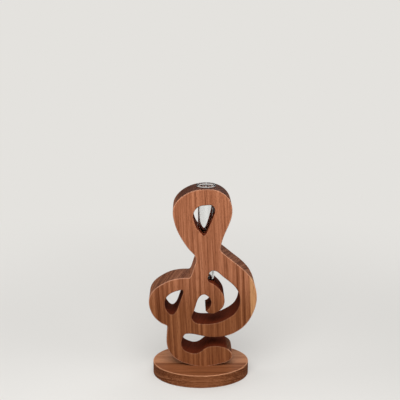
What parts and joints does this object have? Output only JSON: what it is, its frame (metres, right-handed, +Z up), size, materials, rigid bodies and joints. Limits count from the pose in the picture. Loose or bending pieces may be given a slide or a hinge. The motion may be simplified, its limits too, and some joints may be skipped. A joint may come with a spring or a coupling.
{
  "type": "test tube vase",
  "caption": "Bud vase: a thick board sawn to a treble clef's outline on a round wooden base, with a lift-out glass test tube hung by its lip in a bore from the top.",
  "frame": {"origin": "centre of the base's underside, on the surface that the vase stands on", "axes": "+Z up along the tube, +X to the right as the clef reads from the front, +Y to the back"},
  "size_m": [0.1055, 0.095, 0.1915],
  "materials": {
    "clef_wood": "oiled satin, straight upright grain",
    "base_wood": "oiled satin, grain from left to right",
    "tube_glass": "clear, fire-polished lip",
    "screw_steel": "zinc plated"
  },
  "bodies": {
    "stand": {"clef_body": "clef_wood", "base_disc": "base_wood", "foot_screws": "screw_steel"},
    "tube": {"test_tube": "tube_glass"}
  },
  "joints": [
    {"name": "tube_lift", "type": "slide", "parent": "stand", "child": "tube", "axis": [0, 0, 1], "range_m": [0, 0.1]}
  ]
}
